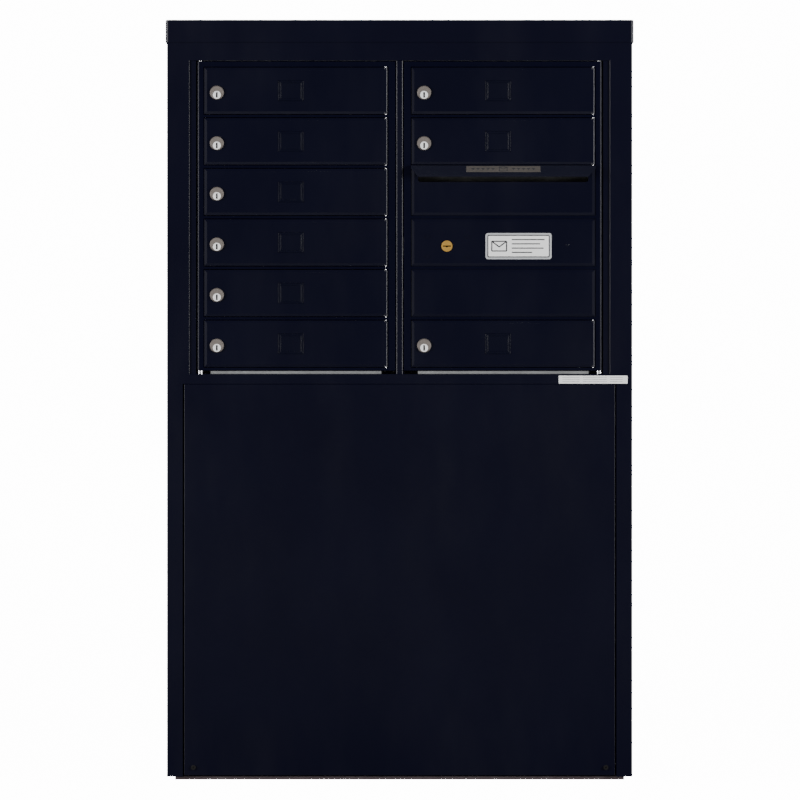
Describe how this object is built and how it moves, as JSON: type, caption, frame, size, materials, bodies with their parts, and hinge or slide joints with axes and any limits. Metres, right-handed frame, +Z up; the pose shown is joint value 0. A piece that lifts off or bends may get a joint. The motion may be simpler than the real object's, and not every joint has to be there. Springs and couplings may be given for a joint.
{
  "type": "cluster mailbox unit",
  "caption": "Free-standing cluster mailbox cabinet with locking tenant doors, hinged master doors, an outgoing mail slot under a hood and a carrier lock.",
  "frame": {"origin": "on the floor under the middle of the whole unit's outline", "axes": "+Z up, the doors face -Y, +X to the viewer's right; +Z is the longest extent"},
  "size_m": [0.823, 0.4856, 1.336],
  "materials": {
    "coat_body": "navy-black powder coat with fine orange peel",
    "coat_side": "navy-black powder coat with fine orange peel",
    "coat_base": "grey-brown primer, scuffed",
    "coat_door": "navy-black powder coat, bevels worn slightly brighter",
    "bare_aluminium": "mill finish, faint rolling lines",
    "zinc_steel": "zinc plated",
    "stainless": "stainless, turned",
    "lock_metal": "dull taupe-grey die casting",
    "plug_metal": "bright plated lock plug, cam zinc plated",
    "brass": "machined brass, lightly tarnished"
  },
  "bodies": {
    "cabinet": {"base_plate": "coat_base", "side_panel_left": "coat_side", "side_panel_right": "coat_side", "back_panel": "coat_side", "front_surround": "coat_body", "lower_front_panel": "coat_body", "top_cap": "coat_body", "support_shelf": "zinc_steel", "cabinet_screws": "stainless", "module_side_left": "coat_body", "module_side_right": "coat_body", "module_wrap": "bare_aluminium", "centre_partition": "coat_body", "sill_strips": "bare_aluminium", "compartment_trays": "bare_aluminium", "master_pivot_pins": "stainless", "bolt_keeper": "zinc_steel", "release_guide": "zinc_steel"},
    "left_master_door": {"left_door_frame": "coat_body", "left_hinge_pins": "stainless"},
    "right_master_door": {"right_door_frame": "coat_body", "right_hinge_pins": "stainless", "outgoing_panel": "coat_door", "mail_hood": "coat_body", "outgoing_baffle": "bare_aluminium", "lock_panel": "coat_door", "blank_panel": "coat_door", "carrier_lock_case": "zinc_steel", "lock_case_studs": "stainless"},
    "carrier_plug": {"carrier_plug": "brass"},
    "carrier_bolt": {"carrier_bolt": "zinc_steel"},
    "release_bolt": {"release_bolt": "zinc_steel"},
    "tenant_door_1": {"tenant_door_1": "coat_door", "lock_housing_1": "lock_metal"},
    "lock_plug_1": {"lock_plug_1": "plug_metal"},
    "tenant_door_2": {"tenant_door_2": "coat_door", "lock_housing_2": "lock_metal"},
    "lock_plug_2": {"lock_plug_2": "plug_metal"},
    "tenant_door_3": {"tenant_door_3": "coat_door", "lock_housing_3": "lock_metal"},
    "lock_plug_3": {"lock_plug_3": "plug_metal"},
    "tenant_door_4": {"tenant_door_4": "coat_door", "lock_housing_4": "lock_metal"},
    "lock_plug_4": {"lock_plug_4": "plug_metal"},
    "tenant_door_5": {"tenant_door_5": "coat_door", "lock_housing_5": "lock_metal"},
    "lock_plug_5": {"lock_plug_5": "plug_metal"},
    "tenant_door_6": {"tenant_door_6": "coat_door", "lock_housing_6": "lock_metal"},
    "lock_plug_6": {"lock_plug_6": "plug_metal"},
    "tenant_door_7": {"tenant_door_7": "coat_door", "lock_housing_7": "lock_metal"},
    "lock_plug_7": {"lock_plug_7": "plug_metal"},
    "tenant_door_8": {"tenant_door_8": "coat_door", "lock_housing_8": "lock_metal"},
    "lock_plug_8": {"lock_plug_8": "plug_metal"},
    "tenant_door_9": {"tenant_door_9": "coat_door", "lock_housing_9": "lock_metal"},
    "lock_plug_9": {"lock_plug_9": "plug_metal"}
  },
  "joints": [
    {"name": "left_master_hinge", "type": "hinge", "parent": "cabinet", "child": "left_master_door", "pos_m": [-0.3507, -0.22135, 0.99], "axis": [0, 0, -1], "range_deg": [0, 90]},
    {"name": "right_master_hinge", "type": "hinge", "parent": "cabinet", "child": "right_master_door", "pos_m": [0.3507, -0.22135, 0.99], "axis": [0, 0, 1], "range_deg": [0, 90]},
    {"name": "carrier_plug_turn", "type": "hinge", "parent": "right_master_door", "child": "carrier_plug", "pos_m": [0.0831, -0.22735, 0.93815], "axis": [0, -1, 0], "range_deg": [0, 90]},
    {"name": "carrier_bolt_slide", "type": "slide", "parent": "right_master_door", "child": "carrier_bolt", "axis": [-1, 0, 0], "range_m": [0, 0.01273]},
    {"name": "release_bolt_slide", "type": "slide", "parent": "cabinet", "child": "release_bolt", "axis": [-1, 0, 0], "range_m": [0, 0.01273]},
    {"name": "tenant_hinge_1", "type": "hinge", "parent": "left_master_door", "child": "tenant_door_1", "pos_m": [-0.0243, -0.22565, 1.21115], "axis": [0, 0, 1], "range_deg": [0, 82]},
    {"name": "lock_turn_1", "type": "hinge", "parent": "tenant_door_1", "child": "lock_plug_1", "pos_m": [-0.3211, -0.22735, 1.20375], "axis": [0, 1, 0], "range_deg": [0, 90]},
    {"name": "tenant_hinge_2", "type": "hinge", "parent": "left_master_door", "child": "tenant_door_2", "pos_m": [-0.0243, -0.22565, 1.12225], "axis": [0, 0, 1], "range_deg": [0, 82]},
    {"name": "lock_turn_2", "type": "hinge", "parent": "tenant_door_2", "child": "lock_plug_2", "pos_m": [-0.3211, -0.22735, 1.11485], "axis": [0, 1, 0], "range_deg": [0, 90]},
    {"name": "tenant_hinge_3", "type": "hinge", "parent": "left_master_door", "child": "tenant_door_3", "pos_m": [-0.0243, -0.22565, 1.03335], "axis": [0, 0, 1], "range_deg": [0, 82]},
    {"name": "lock_turn_3", "type": "hinge", "parent": "tenant_door_3", "child": "lock_plug_3", "pos_m": [-0.3211, -0.22735, 1.02595], "axis": [0, 1, 0], "range_deg": [0, 90]},
    {"name": "tenant_hinge_4", "type": "hinge", "parent": "left_master_door", "child": "tenant_door_4", "pos_m": [-0.0243, -0.22565, 0.94445], "axis": [0, 0, 1], "range_deg": [0, 82]},
    {"name": "lock_turn_4", "type": "hinge", "parent": "tenant_door_4", "child": "lock_plug_4", "pos_m": [-0.3211, -0.22735, 0.93705], "axis": [0, 1, 0], "range_deg": [0, 90]},
    {"name": "tenant_hinge_5", "type": "hinge", "parent": "left_master_door", "child": "tenant_door_5", "pos_m": [-0.0243, -0.22565, 0.85555], "axis": [0, 0, 1], "range_deg": [0, 82]},
    {"name": "lock_turn_5", "type": "hinge", "parent": "tenant_door_5", "child": "lock_plug_5", "pos_m": [-0.3211, -0.22735, 0.84815], "axis": [0, 1, 0], "range_deg": [0, 90]},
    {"name": "tenant_hinge_6", "type": "hinge", "parent": "left_master_door", "child": "tenant_door_6", "pos_m": [-0.0243, -0.22565, 0.76665], "axis": [0, 0, 1], "range_deg": [0, 82]},
    {"name": "lock_turn_6", "type": "hinge", "parent": "tenant_door_6", "child": "lock_plug_6", "pos_m": [-0.3211, -0.22735, 0.75925], "axis": [0, 1, 0], "range_deg": [0, 90]},
    {"name": "tenant_hinge_7", "type": "hinge", "parent": "right_master_door", "child": "tenant_door_7", "pos_m": [0.3399, -0.22565, 1.21115], "axis": [0, 0, 1], "range_deg": [0, 82]},
    {"name": "lock_turn_7", "type": "hinge", "parent": "tenant_door_7", "child": "lock_plug_7", "pos_m": [0.0431, -0.22735, 1.20375], "axis": [0, 1, 0], "range_deg": [0, 90]},
    {"name": "tenant_hinge_8", "type": "hinge", "parent": "right_master_door", "child": "tenant_door_8", "pos_m": [0.3399, -0.22565, 1.12225], "axis": [0, 0, 1], "range_deg": [0, 82]},
    {"name": "lock_turn_8", "type": "hinge", "parent": "tenant_door_8", "child": "lock_plug_8", "pos_m": [0.0431, -0.22735, 1.11485], "axis": [0, 1, 0], "range_deg": [0, 90]},
    {"name": "tenant_hinge_9", "type": "hinge", "parent": "right_master_door", "child": "tenant_door_9", "pos_m": [0.3399, -0.22565, 0.76665], "axis": [0, 0, 1], "range_deg": [0, 82]},
    {"name": "lock_turn_9", "type": "hinge", "parent": "tenant_door_9", "child": "lock_plug_9", "pos_m": [0.0431, -0.22735, 0.75925], "axis": [0, 1, 0], "range_deg": [0, 90]}
  ],
  "couplings": [
    {"joint": "carrier_plug_turn", "follows": "carrier_bolt_slide", "rad_per_m": 123.4}
  ]
}
